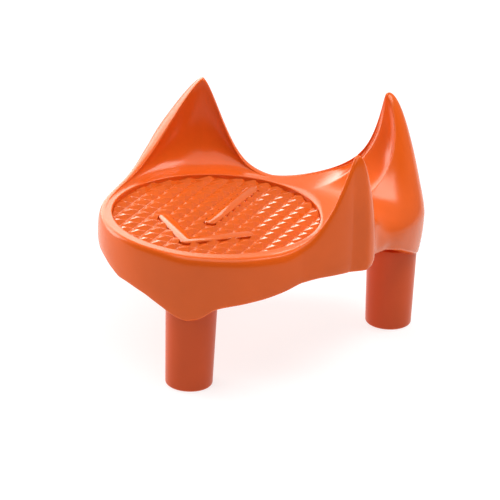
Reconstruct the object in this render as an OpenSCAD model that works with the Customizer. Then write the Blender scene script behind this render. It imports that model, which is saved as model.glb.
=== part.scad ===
// Three-legged kicking tee: a moulded seat with three horns, a studded grip pad and three plug-in legs.
// Millimetres. +Z is up and the tee stands on Z = 0, with the origin under the middle of its outline.
// +Y points from the pad centre to the rear horn.

/* [Size] */
// Height of the seat rim above the ground
rim_z = 51.8; // [40:0.1:70]
// Radius of the round recess that holds the grip pad
pad_r = 37; // [30:0.5:42]
// Radius of the seat at its narrow round end
seat_r = 41.8; // [40:0.1:50]

/* [Horns] */
// Height of every horn above the rim
horn_h = 31.6; // [15:0.1:45]
// Angle between the rear horn and each side horn
horn_spread = 59.5; // [58:0.1:61]
// Distance from the pad centre to the tips of the side horns
side_horn_r = 53.6; // [48:0.1:60]
// Distance from the pad centre to the tip of the rear horn
rear_horn_r = 76; // [68:0.1:82]
// Turn of the rear horn away from the middle line
rear_horn_turn = -2; // [-8:0.5:8]
// Radius of the rounded lip along the horn edges
lip_r = 1.8; // [1:0.1:3]

/* [Shell] */
// Thickness of the recess floor
floor_t = 4.3; // [3:0.1:6]
// Depth of the pad recess below the rim
recess_d = 5.5; // [4:0.1:8]
// Thickness of the skirt under the seat
skirt_t = 4.5; // [3:0.1:6]
// Height where the outer wall is widest
waist_z = 44; // [40:0.5:48]
// Thickness of the webs under the seat
web_t = 3; // [2:0.5:5]
// Depth of the webs under the seat
web_h = 6; // [4:0.5:10]

/* [Grip pad] */
// Distance between neighbouring studs
stud_pitch = 5.3; // [4:0.1:7]
// Height of each stud
stud_h = 1.3; // [0.6:0.1:2]
// Direction of the stud rows and of the raised arrow, from the rear horn
stud_turn = 28; // [0:1:60]
// Width of the arrow's bars
bar_w = 4.6; // [3:0.1:6]
// Length of the arrow's shaft, between the centres of its round ends
shaft_l = 34.5; // [20:0.5:36]
// Distance that each stroke of the arrow's head reaches to the side
head_w = 16; // [8:0.5:17]
// Distance that each stroke of the arrow's head reaches back from its point
head_l = 16; // [8:0.5:17]

/* [Legs] */
// Radius of a leg where it meets the seat
leg_top_r = 9.15; // [8:0.05:11]
// Radius of a leg at the ground
leg_foot_r = 8.4; // [7:0.05:10]
// Height of the shoulder where a leg stops in its socket
leg_joint_z = 31.5; // [30:0.5:34]
// Radius of the plug that holds a leg in its socket
plug_r = 6; // [4:0.1:7]
// Radius of the boss that holds the plug under the seat
boss_r = 7.6; // [7.2:0.1:8]
// Gap all round a leg and its plug in the socket
plug_gap = 0.1; // [0.05:0.05:0.4]
// Distance of the front leg from the pad centre
front_leg_r = 33.2; // [32.6:0.1:33.6]
// Distance of the right leg from the pad centre
right_leg_r = 70; // [69.5:0.1:70.5]
// Distance of the left leg from the pad centre
left_leg_r = 57.7; // [57:0.1:58]

/* [Hidden] */
$fn = 96;
eps = 0.02;
floor_z = rim_z - recess_d;
roof_z = floor_z - floor_t;
plug_top = floor_z - 1.8;
pad_centre = [6.88, -20.61, 0];
// Each leg as its distance from the pad centre and its angle from the rear horn.
front_leg = [front_leg_r, -141.2];
right_leg = [right_leg_r, -14.7];
left_leg = [left_leg_r, 65.5];
shell_color = [0.86, 0.33, 0.1];
pad_color = [0.9, 0.4, 0.12];
arrow_x = 0.7;
shaft_y = 28.5;
head_y = -26.3;
stud_clear = bar_w / 2 + 0.4;
inner_steps = 9;
outer_steps = 7;

// Outline stations: angle from the rear horn, wall radius at the waist, height of the skirt's lower edge.
stations = [
  [-180, 41.9, 35.9], [-165, 42.0, 34.1], [-159, 42.2, 32.5], [-153, 42.5, 30.7],
  [-147, 43.0, 28.7], [-141, 43.3, 27.6], [-135, 43.2, 28.5], [-126, 43.2, 32.7],
  [-113, 43.6, 34.7], [-102, 44.2, 36.3], [-94, 45.0, 37.9], [-84, 46.0, 40.1],
  [-76, 47.6, 40.9], [-69.5, 50.0, 40.8], [-63, 54.0, 40.4], [-58.5, 58.0, 40.4],
  [-55, 58.6, 40.8], [-48, 57.4, 41.0], [-38.5, 61.5, 39.8], [-31.5, 68.5, 37.0],
  [-25, 75.0, 32.5], [-19.7, 79.3, 29.0], [-14, 81.8, 27.6], [-9, 83.1, 29.5],
  [-4, 83.5, 33.0], [0, 82.6, 37.0], [5, 78.0, 39.5], [11, 69.5, 41.0],
  [18, 59.0, 41.0], [28, 50.5, 41.0], [38, 51.5, 40.0], [48, 57.5, 36.0],
  [57, 65.4, 30.0], [65, 68.8, 27.6], [73, 65.6, 30.0], [82, 57.0, 35.0],
  [92, 49.0, 39.0], [102, 45.0, 40.0], [114, 42.9, 40.0], [140, 41.8, 40.0],
  [160, 41.8, 39.3], [171, 41.8, 37.5], [180, 41.9, 35.9]
];
last = len(stations) - 1;

// Angles at which the seat is cut into slices, closer together round the horns.
slices = concat(
  [for (a = [-180:4:-84]) a],
  [for (d = [-20:2:-8]) d - horn_spread],
  [for (d = [-6:1:6]) d - horn_spread],
  [for (d = [8:2:14]) d - horn_spread],
  [for (a = [-42:4:-26]) a], [for (a = [-23:2:-11]) a],
  [for (d = [-7:1:7]) d + rear_horn_turn], [for (a = [7:2:15]) a], [for (a = [19:4:43]) a],
  [for (d = [-14:2:-8]) d + horn_spread],
  [for (d = [-6:1:6]) d + horn_spread],
  [for (d = [8:2:20]) d + horn_spread],
  [for (a = [84:4:176]) a]
);
slice_n = len(slices);

// Smooth curve through the stations that never overshoots them.
function chord(i, c) =
  (stations[i + 1][c] - stations[i][c]) / (stations[i + 1][0] - stations[i][0]);
function slope(i, c) =
  (i <= 0 || i >= last) ? 0 :
  (chord(i - 1, c) * chord(i, c) <= 0) ? 0 :
  2 / (1 / chord(i - 1, c) + 1 / chord(i, c));
function cubic(t, y0, y1, m0, m1) =
  y0 * (1 + 2 * t) * pow(1 - t, 2) + m0 * t * pow(1 - t, 2)
  + y1 * t * t * (3 - 2 * t) + m1 * t * t * (t - 1);
function span_of(a) = max([for (i = [0:last - 1]) if (stations[i][0] <= a) i]);
function along(a, c, i) =
  let (
    h = stations[i + 1][0] - stations[i][0],
    t = (a - stations[i][0]) / h
  )
  cubic(t, stations[i][c], stations[i + 1][c], slope(i, c) * h, slope(i + 1, c) * h);
function station(a, c) = along(a, c, span_of(a));

// A horn is a peak that fades on both sides, with its own width and sharpness on each side.
function fade(d, w, p) = exp(-pow(abs(d) / w, p));
function peak(d, wm, pm, wp, pp) = d > 0 ? fade(d, wp, pp) : fade(d, wm, pm);
function turn(a) = a > 180 ? a - 360 : a < -180 ? a + 360 : a;

function ridge_z(a) = rim_z + horn_h * (
  peak(turn(a - horn_spread), 11.3, 1.55, 19.6, 1.4)
  + peak(turn(a + horn_spread), 13.8, 1.6, 11, 1.5)
  + peak(turn(a - rear_horn_turn), 12.6, 1.6, 4.5, 1.3));
function ridge_r(a) = seat_r
  + (side_horn_r - seat_r) * peak(turn(a - horn_spread), 20, 1.8, 29, 1.8)
  + (side_horn_r - seat_r) * peak(turn(a + horn_spread), 24, 1.8, 22, 1.8)
  + (rear_horn_r - seat_r) * peak(turn(a - rear_horn_turn), 22.7, 2.6, 14.1, 2.45);

// Rise of the seat's inner face from the rim to the lip, 0 to 1.
function rise(u) = 1 - pow(1 - pow(u, 2.5), 0.4545);

// One slice: points [radius, height] from the recess floor, over the crest and down to the hollow's roof.
function slice(a) =
  let (
    rr = ridge_r(a), zr = ridge_z(a),
    rw = max(station(a, 1), rr + 0.3), zb = station(a, 2),
    tall = min(1, (zr - rim_z) / 12),
    r0 = pad_r + 0.4, re = rr - 1.3 * lip_r, ze = zr - 0.4 * lip_r * min(1, (zr - rim_z) / 4),
    rc = rr - (1.1 - 0.4 * tall) * lip_r,
    soft = min(1, (rw - rr) / 8) * (fade(a - 38, 45, 4) + 0.7 * fade(a + 28, 16, 4)),
    rb = rw - 0.3 - 1.2 * fade(a + 25, 14, 4),
    pr = 0.6 + 0.2 * tall + soft * (0.4 - 0.3 * tall),
    pz = 0.6 + 0.4 * tall + soft * (0.7 - 0.55 * tall)
  )
  concat(
    [[pad_r, floor_z], [pad_r, rim_z - 0.5], [r0, rim_z]],
    [for (i = [1:inner_steps])
      let (u = pow(sin(90 * i / inner_steps), 0.8))
      [r0 + (re - r0) * u, rim_z + (ze - rim_z) * rise(u)]],
    [[re + 0.35 * (rc - re), ze + 0.75 * (zr - ze)]],
    [for (i = [0:outer_steps])
      let (q = 90 * i / outer_steps)
      [rc + (rw - rc) * pow(sin(q), pr), waist_z + (zr - waist_z) * pow(max(0, cos(q)), pz)]],
    [[rb, zb + 1.2], [rb - 1.2, zb], [rb - skirt_t + 0.8, zb],
      [rb - skirt_t + 0.3, max(zb + 0.5, roof_z)]]
  );

module seat_shell() {
  rings = [for (a = slices) slice(a)];
  m = len(rings[0]);
  skin = [for (j = [0:slice_n - 1]) for (p = rings[j])
    [-p[0] * sin(slices[j]), p[0] * cos(slices[j]), p[1]]];
  top = len(skin);
  points = concat(skin, [[0, 0, floor_z], [0, 0, roof_z]]);
  faces = concat(
    [for (j = [0:slice_n - 1]) let (k = (j + 1) % slice_n) for (i = [0:m - 2]) each [
      [j * m + i, k * m + i + 1, j * m + i + 1], [j * m + i, k * m + i, k * m + i + 1]
    ]],
    [for (j = [0:slice_n - 1]) let (k = (j + 1) % slice_n) [top, k * m, j * m]],
    [for (j = [0:slice_n - 1]) let (k = (j + 1) % slice_n) [top + 1, j * m + m - 1, k * m + m - 1]]
  );
  polyhedron(points = points, faces = faces, convexity = 8);
}

module at_leg(leg) {
  rotate([0, 0, 90 + leg[1]]) translate([leg[0], 0, 0]) children();
}

// Round boss under the seat that takes the plug of a leg.
module boss(leg) {
  at_leg(leg) translate([0, 0, leg_joint_z]) cylinder(r = boss_r, h = roof_z - leg_joint_z + 1);
}

// Stepped hole for one leg: wide where the leg ends inside the skirt, narrow where its plug goes up.
module socket(leg) {
  at_leg(leg) {
    translate([0, 0, leg_joint_z - 12]) cylinder(r = leg_top_r + plug_gap, h = 12);
    translate([0, 0, leg_joint_z - 1])
      cylinder(r = plug_r + plug_gap, h = plug_top + 1.2 - leg_joint_z);
  }
}

// Upright web from the middle of the seat to a boss.
module web(leg) {
  rotate([0, 0, 90 + leg[1]]) translate([1, -web_t / 2, roof_z - web_h])
    cube([leg[0] - boss_r + 0.5, web_t, web_h + 1]);
}

module tee_body() {
  color(shell_color) difference() {
    union() {
      seat_shell();
      for (leg = [front_leg, right_leg, left_leg]) {
        boss(leg);
        web(leg);
      }
    }
    for (leg = [front_leg, right_leg, left_leg])
      socket(leg);
  }
}

// One bar with round ends between two points.
module bar(from, to, z0, h) {
  hull() {
    translate([from[0], from[1], z0]) cylinder(r = bar_w / 2, h = h, $fn = 32);
    translate([to[0], to[1], z0]) cylinder(r = bar_w / 2, h = h, $fn = 32);
  }
}

// Plain raised direction arrow: a shaft and the two strokes of its head.
module arrow(z0, h) {
  bar([arrow_x, shaft_y], [arrow_x, shaft_y - shaft_l], z0, h);
  bar([arrow_x, head_y], [arrow_x - head_w, head_y + head_l], z0, h);
  bar([arrow_x, head_y], [arrow_x + head_w, head_y + head_l], z0, h);
}

// True where a stud stands clear of the arrow.
function off_shaft(x, y) = abs(x - arrow_x) > stud_clear || y < shaft_y - shaft_l - stud_clear;
function off_head(x, y) =
  let (side = abs(x - arrow_x), along = y - head_y, n = norm([head_w, head_l]))
  abs(side * head_l - along * head_w) / n > stud_clear
  || side * head_w + along * head_l > n * (n + stud_clear)
  || side * head_w + along * head_l < -n * stud_clear;

module grip_pad() {
  base_z = rim_z - 1.6;
  half = stud_pitch / 2 - 0.12;
  n = ceil(pad_r / stud_pitch);
  color(pad_color) union() {
    translate([0, 0, floor_z]) cylinder(r = pad_r - 0.1, h = base_z - floor_z);
    rotate([0, 0, stud_turn]) {
      arrow(base_z - 0.5, 0.5 + 0.9 * stud_h);
      for (i = [-n:n]) for (j = [-n:n])
        let (x = (i + 0.5) * stud_pitch, y = j * stud_pitch)
          if (norm([x, y]) < pad_r - 3.2 && off_shaft(x, y) && off_head(x, y))
            stud(x, y, half, base_z);
    }
  }
}

// Pyramid with a small flat top.
module stud(x, y, half, base_z) {
  hull() {
    translate([x - half, y - half, base_z - 0.2]) cube([2 * half, 2 * half, 0.2]);
    translate([x - 0.25, y - 0.25, base_z]) cube([0.5, 0.5, stud_h]);
  }
}

module leg_peg(leg) {
  color(shell_color) at_leg(leg) union() {
    cylinder(r1 = leg_foot_r - 1, r2 = leg_foot_r, h = 1);
    translate([0, 0, 1]) cylinder(r1 = leg_foot_r, r2 = leg_top_r, h = leg_joint_z - 1);
    translate([0, 0, leg_joint_z]) cylinder(r = plug_r, h = plug_top - leg_joint_z);
  }
}

module front_leg_peg() {
  leg_peg(front_leg);
}

module right_leg_peg() {
  leg_peg(right_leg);
}

module left_leg_peg() {
  leg_peg(left_leg);
}

translate(pad_centre) tee_body();
translate(pad_centre) grip_pad();
translate(pad_centre) front_leg_peg();
translate(pad_centre) right_leg_peg();
translate(pad_centre) left_leg_peg();
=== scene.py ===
import math

import bmesh
import bpy
import numpy as np
from mathutils import Matrix, Vector


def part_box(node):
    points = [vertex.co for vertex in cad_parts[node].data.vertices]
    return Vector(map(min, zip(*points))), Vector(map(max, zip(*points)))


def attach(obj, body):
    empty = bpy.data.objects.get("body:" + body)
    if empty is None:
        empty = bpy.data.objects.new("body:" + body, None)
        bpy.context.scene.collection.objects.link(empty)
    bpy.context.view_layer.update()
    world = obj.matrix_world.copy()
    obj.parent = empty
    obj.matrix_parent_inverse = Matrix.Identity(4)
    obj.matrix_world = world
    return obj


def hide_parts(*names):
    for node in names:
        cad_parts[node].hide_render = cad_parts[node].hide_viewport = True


# Raised kicking tee: the visual model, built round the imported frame.
# Sizes are in millimetres and angles in degrees. Points are given from the pad's middle line and from the
# ground, and place() turns them into the frame's metres. A light's panel is in metres.

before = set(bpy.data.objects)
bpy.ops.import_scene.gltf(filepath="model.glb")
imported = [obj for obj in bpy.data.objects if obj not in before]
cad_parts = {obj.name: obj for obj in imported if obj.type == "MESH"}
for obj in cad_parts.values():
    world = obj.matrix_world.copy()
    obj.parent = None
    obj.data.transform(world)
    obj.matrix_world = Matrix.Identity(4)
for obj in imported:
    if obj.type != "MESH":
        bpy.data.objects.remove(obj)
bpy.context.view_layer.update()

MM = 0.001


def middle(node):
    """Where the upright middle line of a CAD node stands."""
    low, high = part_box(node)
    return (low[0] + high[0]) / 2 / MM, (low[1] + high[1]) / 2 / MM


PAD_CENTRE = middle("grip_pad")
LEGS = ("front", "right", "left")

# ---- Dimensions, the same as in the CAD model ----
RIM_Z = 51.8
PAD_R = 37.0
SEAT_R = 41.8
HORN_H = 31.6
HORN_SPREAD = 59.5
SIDE_HORN_R = 53.6
REAR_HORN_R = 76.0
REAR_HORN_TURN = -2.0
LIP_R = 1.8
FLOOR_T = 4.3
RECESS_D = 5.5
SKIRT_T = 4.5
EDGE_R = 1.2
WAIST_Z = 44.0
FLOOR_Z = RIM_Z - RECESS_D
ROOF_Z = FLOOR_Z - FLOOR_T
STUD_PITCH = 5.3
STUD_TURN = 28.0
BAR_W = 4.6
LEG_TOP_R = 9.15
LEG_FOOT_R = 8.4
LEG_JOINT_Z = 31.5
PLUG_R = 6.0
PLUG_GAP = 0.1
BOSS_R = 7.6
ARROW_X = 0.7
SHAFT_Y = 28.5
SHAFT_L = 34.5
HEAD_Y = -26.3
HEAD_W = 16.0
HEAD_L = 16.0

# Outline stations: angle from the rear horn, wall radius at the waist, height of the skirt's lower edge.
STATIONS = np.array([
    (-180, 41.9, 35.9), (-165, 42.0, 34.1), (-159, 42.2, 32.5), (-153, 42.5, 30.7),
    (-147, 43.0, 28.7), (-141, 43.3, 27.6), (-135, 43.2, 28.5), (-126, 43.2, 32.7),
    (-113, 43.6, 34.7), (-102, 44.2, 36.3), (-94, 45.0, 37.9), (-84, 46.0, 40.1),
    (-76, 47.6, 40.9), (-69.5, 50.0, 40.8), (-63, 54.0, 40.4), (-58.5, 58.0, 40.4),
    (-55, 58.6, 40.8), (-48, 57.4, 41.0), (-38.5, 61.5, 39.8), (-31.5, 68.5, 37.0),
    (-25, 75.0, 32.5), (-19.7, 79.3, 29.0), (-14, 81.8, 27.6), (-9, 83.1, 29.5),
    (-4, 83.5, 33.0), (0, 82.6, 37.0), (5, 78.0, 39.5), (11, 69.5, 41.0),
    (18, 59.0, 41.0), (28, 50.5, 41.0), (38, 51.5, 40.0), (48, 57.5, 36.0),
    (57, 65.4, 30.0), (65, 68.8, 27.6), (73, 65.6, 30.0), (82, 57.0, 35.0),
    (92, 49.0, 39.0), (102, 45.0, 40.0), (114, 42.9, 40.0), (140, 41.8, 40.0),
    (160, 41.8, 39.3), (171, 41.8, 37.5), (180, 41.9, 35.9)], float)

# Each horn: angle of its tip, reach of its ridge, then how its height and its reach fall away from the tip,
# as width and power on the side of smaller angles and width and power on the side of larger ones.
HORNS = (
    (HORN_SPREAD, SIDE_HORN_R, (11.3, 1.55, 19.6, 1.4), (20, 1.8, 29, 1.8)),
    (-HORN_SPREAD, SIDE_HORN_R, (13.8, 1.6, 11, 1.5), (24, 1.8, 22, 1.8)),
    (REAR_HORN_TURN, REAR_HORN_R, (12.6, 1.6, 4.5, 1.3), (22.7, 2.6, 14.1, 2.45)))


# ---- Mesh helpers ----
def place(x, y, z):
    """A point given from the pad's middle line, in the frame's metres."""
    return ((x + PAD_CENTRE[0]) * MM, (y + PAD_CENTRE[1]) * MM, z * MM)


def new_object(name, verts, faces, smooth=True):
    mesh = bpy.data.meshes.new(name)
    mesh.from_pydata([tuple(v) for v in verts], [], [tuple(f) for f in faces])
    mesh.validate()
    mesh.update()
    if smooth:
        mesh.shade_smooth()
    obj = bpy.data.objects.new(name, mesh)
    bpy.context.collection.objects.link(obj)
    return obj


def strips(n, rows, closed=False):
    """Faces between neighbouring rings of n points each, and from the last ring to the first if closed."""
    faces = []
    for i in range(rows if closed else rows - 1):
        low, high = i * n, (i + 1) % rows * n
        for j in range(n):
            k = (j + 1) % n
            faces.append((low + j, low + k, high + k, high + j))
    return faces


def caps(n, rows):
    """The flat faces at both ends of a stack of rings."""
    return [tuple(range(n))[::-1], tuple((rows - 1) * n + j for j in range(n))]


def lathe(name, profile, x, y, n=72, tube=False, smooth=True):
    """Turns a profile of (radius, height) round an upright line. A tube's profile is a closed loop."""
    verts = []
    for r, z in profile:
        for j in range(n):
            t = 2 * math.pi * j / n
            verts.append(place(x + r * math.cos(t), y + r * math.sin(t), z))
    rows = len(profile)
    faces = strips(n, rows, tube)
    if not tube:
        faces += caps(n, rows)
    return new_object(name, verts, faces, smooth)


# ---- Seat ----
def station(a, column):
    """Smooth curve through the stations that never overshoots them."""
    x, y = STATIONS[:, 0], STATIONS[:, column]
    h = np.diff(x)
    d = np.diff(y) / h
    m = np.zeros(len(x))
    for i in range(1, len(x) - 1):
        if d[i - 1] * d[i] > 0:
            m[i] = 2 / (1 / d[i - 1] + 1 / d[i])
    k = np.clip(np.searchsorted(x, a, side="right") - 1, 0, len(x) - 2)
    t = (a - x[k]) / h[k]
    return (y[k] * (1 + 2 * t) * (1 - t) ** 2 + m[k] * h[k] * t * (1 - t) ** 2
            + y[k + 1] * t * t * (3 - 2 * t) + m[k + 1] * h[k] * t * t * (t - 1))


def wrap(a):
    return (a + 180) % 360 - 180


def fade(d, width, power):
    """1 at d = 0, falling smoothly to 0 on both sides."""
    return np.exp(-(np.abs(d) / width) ** power)


def peak(d, width_below, power_below, width_above, power_above):
    return np.where(d > 0, fade(d, width_above, power_above), fade(d, width_below, power_below))


def ridge_z(a):
    return RIM_Z + HORN_H * sum(peak(wrap(a - tip), *rise) for tip, _, rise, _ in HORNS)


def ridge_r(a):
    return SEAT_R + sum((reach - SEAT_R) * peak(wrap(a - tip), *spread) for tip, reach, _, spread in HORNS)


def recess(level):
    """From the recess floor up to the rim's rounded inner edge. level is 0 for each angle."""
    edge = ((0, FLOOR_Z - RIM_Z), (0, -0.6), (0.06, -0.25), (0.2, -0.07), (0.4, 0))
    return [(level + PAD_R + out, level + RIM_Z + up) for out, up in edge]


def bowl(inner_r, crest_r, crest_z):
    """From the rim, flat at first, up to the foot of the ridge's rounding."""
    steps, spacing, flat, round_off = 26, 0.8, 2.5, 0.4545
    rows = []
    for i in range(1, steps + 1):
        u = math.sin(math.pi / 2 * i / steps) ** spacing
        rise = 1 - (1 - u ** flat) ** round_off
        rows.append((inner_r + (crest_r - inner_r) * u, RIM_Z + (crest_z - RIM_Z) * rise))
    return rows


def crest(crest_r, crest_z, top_r, top_z):
    """The ridge's rounded inner edge."""
    rows = []
    for q in (15, 30, 45, 60, 75):
        t = math.radians(q)
        out, up = 1 - math.cos(t), math.sin(t)
        rows.append((crest_r + (top_r - crest_r) * out, crest_z + (top_z - crest_z) * up))
    return rows


def wall(top_r, top_z, waist_r, power_r, power_z):
    """From the ridge down to the waist."""
    steps, spacing = 28, 1.2
    rows = []
    for i in range(steps + 1):
        q = math.pi / 2 * (i / steps) ** spacing
        down = max(0.0, math.cos(q)) ** power_z
        rows.append((top_r + (waist_r - top_r) * math.sin(q) ** power_r, WAIST_Z + (top_z - WAIST_Z) * down))
    return rows


def skirt(level, waist_r, foot_r, foot_z):
    """From the waist down to the rounded lower edge, then up inside to the roof of the hollow."""
    rows = []
    for s in (0.2, 0.4, 0.6, 0.8):
        rows.append((waist_r + (foot_r - waist_r) * s ** 2, WAIST_Z + (foot_z + EDGE_R - WAIST_Z) * s))
    for q in (0, 20, 40, 60, 80, 90):
        t = math.radians(q)
        rows.append((foot_r - EDGE_R * (1 - math.cos(t)), foot_z + EDGE_R - EDGE_R * math.sin(t)))
    inner_r = foot_r - SKIRT_T
    rows += [(inner_r + 0.9, foot_z), (inner_r + 0.45, foot_z + 0.2),
             (inner_r + 0.3, np.minimum(foot_z + 0.6, ROOF_Z)), (inner_r + 0.3, level + ROOF_Z)]
    return rows


def slices(a):
    """The seat's profile at the angles a: (radii, heights) ring by ring, from the recess to the hollow."""
    level = np.zeros_like(a)
    ridge_reach, ridge_top = ridge_r(a), ridge_z(a)
    waist_r = np.maximum(station(a, 1), ridge_reach + 0.3)
    foot_r = waist_r - 0.3 - 1.2 * fade(a + 25, 14, 4)
    tall = np.minimum(1, (ridge_top - RIM_Z) / 12)
    crest_r = ridge_reach - 1.3 * LIP_R
    crest_z = ridge_top - 0.4 * LIP_R * np.minimum(1, (ridge_top - RIM_Z) / 4)
    top_r = ridge_reach - (1.1 - 0.4 * tall) * LIP_R
    # Where the wall bulges out below the left and rear horns, its shoulder is softer
    soft = np.minimum(1, (waist_r - ridge_reach) / 8) * (fade(a - 38, 45, 4) + 0.7 * fade(a + 28, 16, 4))
    power_r = 0.6 + 0.2 * tall + soft * (0.4 - 0.3 * tall)
    power_z = 0.6 + 0.4 * tall + soft * (0.7 - 0.55 * tall)
    return (recess(level) + bowl(level + PAD_R + 0.4, crest_r, crest_z)
            + crest(crest_r, crest_z, top_r, ridge_top) + wall(top_r, ridge_top, waist_r, power_r, power_z)
            + skirt(level, waist_r, foot_r, station(a, 2)))


def seat_angles():
    """Angles all round, closer together near the horns' tips."""
    angles = list(np.arange(-180, 180, 1.25))
    for tip, *_ in HORNS:
        angles += list(tip + np.arange(-12, 12.01, 0.5))
    angles = sorted(set(round(a, 2) for a in angles))
    kept = [angles[0]]
    for a in angles[1:]:
        if a - kept[-1] >= 0.3:
            kept.append(a)
    return np.array(kept)


def build_seat():
    a = seat_angles()
    rows = slices(a)
    n, m = len(a), len(rows)
    sin, cos = np.sin(np.radians(a)), np.cos(np.radians(a))
    verts = []
    for r, z in rows:
        verts += [place(-r[j] * sin[j], r[j] * cos[j], z[j]) for j in range(n)]
    verts += [place(0, 0, FLOOR_Z), place(0, 0, ROOF_Z)]
    floor_hub, roof_hub = m * n, m * n + 1
    faces = strips(n, m)
    for j in range(n):
        k = (j + 1) % n
        faces.append((floor_hub, k, j))
        faces.append((roof_hub, (m - 1) * n + j, (m - 1) * n + k))
    return new_object("seat", verts, [f[::-1] for f in faces])


# ---- Legs and their sockets ----
def leg_xy(leg):
    """A leg's middle line, from the pad's."""
    x, y = middle(leg + "_leg_peg")
    return x - PAD_CENTRE[0], y - PAD_CENTRE[1]


def build_leg(leg):
    foot_edge = 1.0
    profile = [(LEG_FOOT_R - foot_edge, 0)]
    for q in range(15, 91, 15):
        t = math.radians(q)
        profile.append((LEG_FOOT_R - foot_edge * (1 - math.sin(t)), foot_edge * (1 - math.cos(t))))
    taper, length = LEG_TOP_R - LEG_FOOT_R, LEG_JOINT_Z - foot_edge
    for s in (0.1, 0.35, 0.65, 0.9, 0.985):
        profile.append((LEG_FOOT_R + taper * s, foot_edge + length * s))
    profile += [(LEG_TOP_R - 0.15, LEG_JOINT_Z - 0.1), (LEG_TOP_R - 0.4, LEG_JOINT_Z),
                (PLUG_R, LEG_JOINT_Z), (PLUG_R, ROOF_Z - 0.4), (PLUG_R - 0.3, ROOF_Z - 0.1)]
    return lathe(leg + "_leg", profile, *leg_xy(leg))


def build_boss(leg):
    """The socket round a leg's plug, joined to the roof of the hollow."""
    bore_r = PLUG_R + PLUG_GAP
    top_z = ROOF_Z + 0.6
    profile = [(bore_r, LEG_JOINT_Z), (BOSS_R - 0.3, LEG_JOINT_Z), (BOSS_R, LEG_JOINT_Z + 0.3),
               (BOSS_R, top_z), (bore_r, top_z)]
    return lathe(leg + "_boss", profile, *leg_xy(leg), tube=True)


# ---- Grip pad ----
PAD_TOP = RIM_Z - 1.6
PAD_GAP = 0.1
STUD_H = 1.05    # lower than in the CAD model, so that the slopes catch the light from behind
STUD_TIP = 0.24  # half the flat on a stud's tip
STUD_LEAN = 0.9  # how far a tip stands to one side of its base's middle
STROKES = (((ARROW_X, SHAFT_Y), (ARROW_X, SHAFT_Y - SHAFT_L)),
           ((ARROW_X, HEAD_Y), (ARROW_X - HEAD_W, HEAD_Y + HEAD_L)),
           ((ARROW_X, HEAD_Y), (ARROW_X + HEAD_W, HEAD_Y + HEAD_L)))


def build_pad():
    r = PAD_R - PAD_GAP
    profile = [(r, FLOOR_Z), (r, PAD_TOP - 0.25), (r - 0.08, PAD_TOP - 0.07), (r - 0.3, PAD_TOP)]
    return lathe("pad", profile, 0, 0, n=144, smooth=False)


def turned(x, y):
    """From the grid of the studs to the model's axes."""
    t = math.radians(STUD_TURN)
    return x * math.cos(t) - y * math.sin(t), x * math.sin(t) + y * math.cos(t)


def cuts(x, y, reach):
    """Upright planes that trim a stud to the pad's edge and to the arrow: a point and the way to keep."""
    out = []
    edge = PAD_R - 0.2
    r = math.hypot(x, y)
    if r + reach > edge:
        out.append(((x / r * edge, y / r * edge), (-x / r, -y / r)))
    gap = BAR_W / 2 + 0.02
    for (ax, ay), (bx, by) in STROKES:
        dx, dy = bx - ax, by - ay
        s = min(1, max(0, ((x - ax) * dx + (y - ay) * dy) / (dx * dx + dy * dy)))
        nx, ny = x - ax - s * dx, y - ay - s * dy
        d = math.hypot(nx, ny)
        if d < BAR_W / 2 + reach:
            nx, ny = nx / d, ny / d
            out.append(((ax + s * dx + nx * gap, ay + s * dy + ny * gap), (nx, ny)))
    return out


def stud(x, y, half):
    """One stud as a bmesh, before it is trimmed: a short block with a leaning pyramid on it."""
    bm = bmesh.new()
    rings = []
    sections = ((half, 0, PAD_TOP - 0.15), (half, 0, PAD_TOP), (STUD_TIP, STUD_LEAN, PAD_TOP + STUD_H))
    for h, lean, z in sections:
        corners = ((-h, -h), (h, -h), (h, h), (-h, h))
        rings.append([bm.verts.new((x + lean + sx, y + sy, z)) for sx, sy in corners])
    for low, high in zip(rings, rings[1:]):
        for k in range(4):
            bm.faces.new((low[k], low[(k + 1) % 4], high[(k + 1) % 4], high[k]))
    bm.faces.new(rings[0][::-1])
    bm.faces.new(rings[-1])
    return bm


def trim(bm, point, keep):
    """Cuts a stud along an upright plane and closes the cut."""
    geom = bm.verts[:] + bm.edges[:] + bm.faces[:]
    cut = bmesh.ops.bisect_plane(bm, geom=geom, plane_co=(*point, 0), plane_no=(-keep[0], -keep[1], 0),
                                 clear_outer=True)
    edges = [e for e in cut["geom_cut"] if isinstance(e, bmesh.types.BMEdge)]
    if edges:
        bmesh.ops.holes_fill(bm, edges=edges, sides=0)


def build_studs():
    half = STUD_PITCH / 2 - 0.06
    corner = half * 1.4143
    smallest = 0.4  # volume below which the rest of a stud is dropped
    n = math.ceil(PAD_R / STUD_PITCH) + 1
    whole = bmesh.new()
    for i in range(-n, n):
        for j in range(-n, n + 1):
            x, y = (i + 0.5) * STUD_PITCH, j * STUD_PITCH
            if math.hypot(x, y) > PAD_R + 1:
                continue
            bm = stud(x, y, half)
            for point, keep in cuts(x, y, corner):
                trim(bm, point, keep)
            if len(bm.faces) > 3 and bm.calc_volume() > smallest:
                mesh = bpy.data.meshes.new("stud")
                bm.to_mesh(mesh)
                whole.from_mesh(mesh)
                bpy.data.meshes.remove(mesh)
            bm.free()
    for v in whole.verts:
        v.co = place(*turned(v.co.x, v.co.y), v.co.z)
    bmesh.ops.recalc_face_normals(whole, faces=whole.faces[:])
    mesh = bpy.data.meshes.new("studs")
    whole.to_mesh(mesh)
    whole.free()
    obj = bpy.data.objects.new("studs", mesh)
    bpy.context.collection.objects.link(obj)
    bevel = obj.modifiers.new("edges", "BEVEL")
    bevel.width = 0.14 * MM
    bevel.segments = 2
    bevel.limit_method = "ANGLE"
    bevel.angle_limit = math.radians(15)
    return obj


def arc(x, y, r, start, stop, steps):
    points = []
    for i in range(steps + 1):
        t = math.radians(start + (stop - start) * i / steps)
        points.append((x + r * math.cos(t), y + r * math.sin(t)))
    return points


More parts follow.
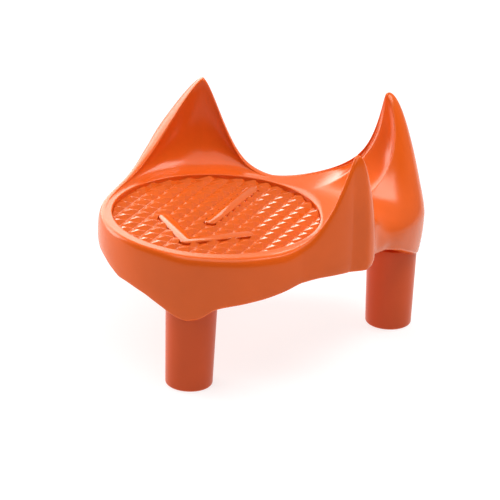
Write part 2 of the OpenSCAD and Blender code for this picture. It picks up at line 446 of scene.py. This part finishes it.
def shaft_outline(w):
    (x, y0), (_, y1) = STROKES[0]
    return arc(x, y0, w / 2, 0, 180, 16) + arc(x, y1, w / 2, 180, 360, 16)


def head_outline(w):
    t = math.degrees(math.atan2(HEAD_L, HEAD_W))
    inner = w / 2 / math.sin(math.radians(90 - t))
    return (arc(ARROW_X + HEAD_W, HEAD_Y + HEAD_L, w / 2, t - 90, t + 90, 16) + [(ARROW_X, HEAD_Y + inner)]
            + arc(ARROW_X - HEAD_W, HEAD_Y + HEAD_L, w / 2, 90 - t, 270 - t, 16)
            + arc(ARROW_X, HEAD_Y, w / 2, 270 - t, 270 + t, 12)[1:-1])


def build_bar(name, outline):
    """A raised bar with rounded upper edges. outline gives its plan at a width."""
    top = PAD_TOP + 0.9 * STUD_H
    layers = ((BAR_W, PAD_TOP - 0.3), (BAR_W, top - 0.35), (BAR_W - 0.1, top - 0.17),
              (BAR_W - 0.34, top - 0.05), (BAR_W - 0.7, top))
    verts = []
    for w, z in layers:
        verts += [place(*turned(x, y), z) for x, y in outline(w)]
    n = len(outline(BAR_W))
    return new_object(name, verts, strips(n, len(layers)) + caps(n, len(layers)))


# ---- Materials ----
TINT_SCALE = 35
GRAIN_SCALE = 900
GRAIN_DEPTH = 0.0004


def plastic(name, colour, rough, grain_strength):
    """Moulded plastic: a colour that varies a little, and a fine grain."""
    mat = bpy.data.materials.new(name)
    mat.use_nodes = True
    nt = mat.node_tree
    bsdf = nt.nodes["Principled BSDF"]
    bsdf.inputs["Roughness"].default_value = rough
    bsdf.inputs["IOR"].default_value = 1.5
    bsdf.inputs["Specular IOR Level"].default_value = 0.42
    coord = nt.nodes.new("ShaderNodeTexCoord")
    tint = nt.nodes.new("ShaderNodeTexNoise")
    tint.inputs["Scale"].default_value = TINT_SCALE
    tint.inputs["Detail"].default_value = 3
    nt.links.new(coord.outputs["Object"], tint.inputs["Vector"])
    ramp = nt.nodes.new("ShaderNodeValToRGB")
    dark, light = ramp.color_ramp.elements
    dark.position = 0.3
    dark.color = (*[c * 0.93 for c in colour], 1)
    light.position = 0.7
    light.color = (*[min(1, c * 1.05) for c in colour], 1)
    nt.links.new(tint.outputs["Fac"], ramp.inputs["Fac"])
    nt.links.new(ramp.outputs["Color"], bsdf.inputs["Base Color"])
    grain = nt.nodes.new("ShaderNodeTexNoise")
    grain.inputs["Scale"].default_value = GRAIN_SCALE
    grain.inputs["Detail"].default_value = 4
    nt.links.new(coord.outputs["Object"], grain.inputs["Vector"])
    bump = nt.nodes.new("ShaderNodeBump")
    bump.inputs["Strength"].default_value = grain_strength
    bump.inputs["Distance"].default_value = GRAIN_DEPTH
    nt.links.new(grain.outputs["Fac"], bump.inputs["Height"])
    nt.links.new(bump.outputs["Normal"], bsdf.inputs["Normal"])
    return mat


def floor_paint():
    """Pale paint that glows a little, so that the floor stays plain and bright."""
    mat = bpy.data.materials.new("floor_paint")
    mat.use_nodes = True
    inputs = mat.node_tree.nodes["Principled BSDF"].inputs
    inputs["Base Color"].default_value = (0.25, 0.25, 0.25, 1)
    inputs["Roughness"].default_value = 0.9
    inputs["Emission Color"].default_value = (1, 1, 1, 1)
    inputs["Emission Strength"].default_value = 0.78
    return mat


# ---- The pieces ----
SHELL_MAT = plastic("shell_plastic", (0.83, 0.155, 0.017), 0.2, 0.02)
# The pad is the same orange plastic as the shell. Its colour is made darker here as painted shade, to tone
# down how bright the pad looks under the lamps.
SHADED_PAD_MAT = plastic("pad_plastic_painted_shade", (0.74, 0.155, 0.022), 0.1, 0.02)
# The legs are the same orange plastic as the shell. Their colour is made darker here as painted shade, for
# the shade that falls on the legs' fronts.
SHADED_LEG_MAT = plastic("leg_plastic_painted_shade", (0.7, 0.105, 0.013), 0.3, 0.03)

seat = build_seat()
pieces = [(seat, SHELL_MAT, "shell")]
for leg in LEGS:
    pieces.append((build_boss(leg), SHELL_MAT, "shell"))
pad = build_pad()
pieces.append((pad, SHADED_PAD_MAT, "pad"))
pieces.append((build_studs(), SHADED_PAD_MAT, "pad"))
for name, outline in (("arrow_shaft", shaft_outline), ("arrow_head", head_outline)):
    pieces.append((build_bar(name, outline), SHADED_PAD_MAT, "pad"))
legs = {}
for leg in LEGS:
    legs[leg] = build_leg(leg)
    pieces.append((legs[leg], SHADED_LEG_MAT, "leg"))
for obj, mat, slot in pieces:
    obj.data.materials.append(mat)
    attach(obj, "root")
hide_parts("tee_body")
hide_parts("grip_pad")
for leg in LEGS:
    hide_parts(leg + "_leg_peg")


# ---- Camera, lights and stage ----
TURN = 51.5         # from the camera's sideways axis to the model's
PITCH = 22.9
ROLL = 2.3
SENSOR = 36.0
LENS = 288.0
DISTANCE = 1423.08  # from the camera to the pad, along the line of sight
AIM_HEIGHT = 50.8   # height of the point on the pad's middle line that the camera is placed by
# How far right of the line of sight and above it that point stands, as a share of the distance
PAD_RIGHT = -0.008375
PAD_UP = 0.0086


def from_camera(x, y, z):
    """A point given to the right of, beyond and above the pad's middle, as the camera sees it."""
    t = math.radians(TURN)
    return Vector(place(x * math.cos(t) - y * math.sin(t), x * math.sin(t) + y * math.cos(t), z))


def make_camera():
    pitch, roll = math.radians(PITCH), math.radians(ROLL)
    spin = Matrix.Rotation(math.radians(TURN), 3, "Z")
    forward = spin @ Vector((0, math.cos(pitch), -math.sin(pitch)))
    right = spin @ Vector((1, 0, 0))
    up = right.cross(forward)
    cam_x = right * math.cos(roll) + up * math.sin(roll)
    cam_y = up * math.cos(roll) - right * math.sin(roll)
    aim = Vector((*PAD_CENTRE, AIM_HEIGHT))
    eye = (aim - (cam_x * PAD_RIGHT + cam_y * PAD_UP + forward) * DISTANCE) * MM
    cam = bpy.data.cameras.new("camera")
    cam.sensor_width = SENSOR
    cam.lens = LENS
    cam.clip_end = 20
    obj = bpy.data.objects.new("camera", cam)
    bpy.context.collection.objects.link(obj)
    obj.matrix_world = Matrix.Translation(eye) @ Matrix((cam_x, cam_y, -forward)).transposed().to_4x4()
    bpy.context.scene.camera = obj


def soft_light(name, where, target, size, power):
    """A rectangular panel that faces the target. Its power is in watts."""
    light = bpy.data.lights.new(name, "AREA")
    light.shape = "RECTANGLE"
    light.size, light.size_y = size
    light.energy = power
    obj = bpy.data.objects.new(name, light)
    bpy.context.collection.objects.link(obj)
    obj.location = where
    obj.rotation_euler = (target - where).to_track_quat("-Z", "Y").to_euler()


def make_world():
    """A studio that is dim on the camera's side and brighter beyond the object."""
    world = bpy.data.worlds.new("world")
    bpy.context.scene.world = world
    world.use_nodes = True
    nt = world.node_tree
    turn = math.radians(TURN)
    coord = nt.nodes.new("ShaderNodeTexCoord")
    dot = nt.nodes.new("ShaderNodeVectorMath")
    dot.operation = "DOT_PRODUCT"
    dot.inputs[1].default_value = (-math.sin(turn), math.cos(turn), 0)
    span = nt.nodes.new("ShaderNodeMapRange")
    span.inputs["From Min"].default_value = -1
    ramp = nt.nodes.new("ShaderNodeValToRGB")
    near, far = ramp.color_ramp.elements
    near.color = (0.03, 0.03, 0.03, 1)
    far.color = (0.5, 0.5, 0.5, 1)
    for position, grey in ((0.42, 0.03), (0.5, 0.25), (0.6, 0.45)):
        ramp.color_ramp.elements.new(position).color = (grey, grey, grey, 1)
    nt.links.new(coord.outputs["Generated"], dot.inputs[0])
    nt.links.new(dot.outputs["Value"], span.inputs["Value"])
    nt.links.new(span.outputs["Result"], ramp.inputs["Fac"])
    nt.links.new(ramp.outputs["Color"], nt.nodes["Background"].inputs["Color"])


LIT_POINT = from_camera(20, 0, 45)
FLOOR_REACH = 6000 * MM

make_camera()
floor_corners = [(sx * FLOOR_REACH, sy * FLOOR_REACH, 0) for sx, sy in ((-1, -1), (1, -1), (1, 1), (-1, 1))]
floor = new_object("floor", floor_corners, [(0, 1, 2, 3)], smooth=False)
floor.data.materials.append(floor_paint())
soft_light("left_box", from_camera(-650, 300, 260), LIT_POINT, (0.35, 0.45), 2.6)
soft_light("back_box", from_camera(-440, 900, 400), LIT_POINT, (0.9, 0.7), 6)
soft_light("top_box", from_camera(400, 60, 720), LIT_POINT, (0.4, 0.35), 3)
soft_light("fill_box", from_camera(-60, -260, 850), LIT_POINT, (0.9, 0.8), 5)
make_world()
bpy.context.scene.view_settings.view_transform = "Standard"
bpy.context.scene.view_settings.gamma = 0.84
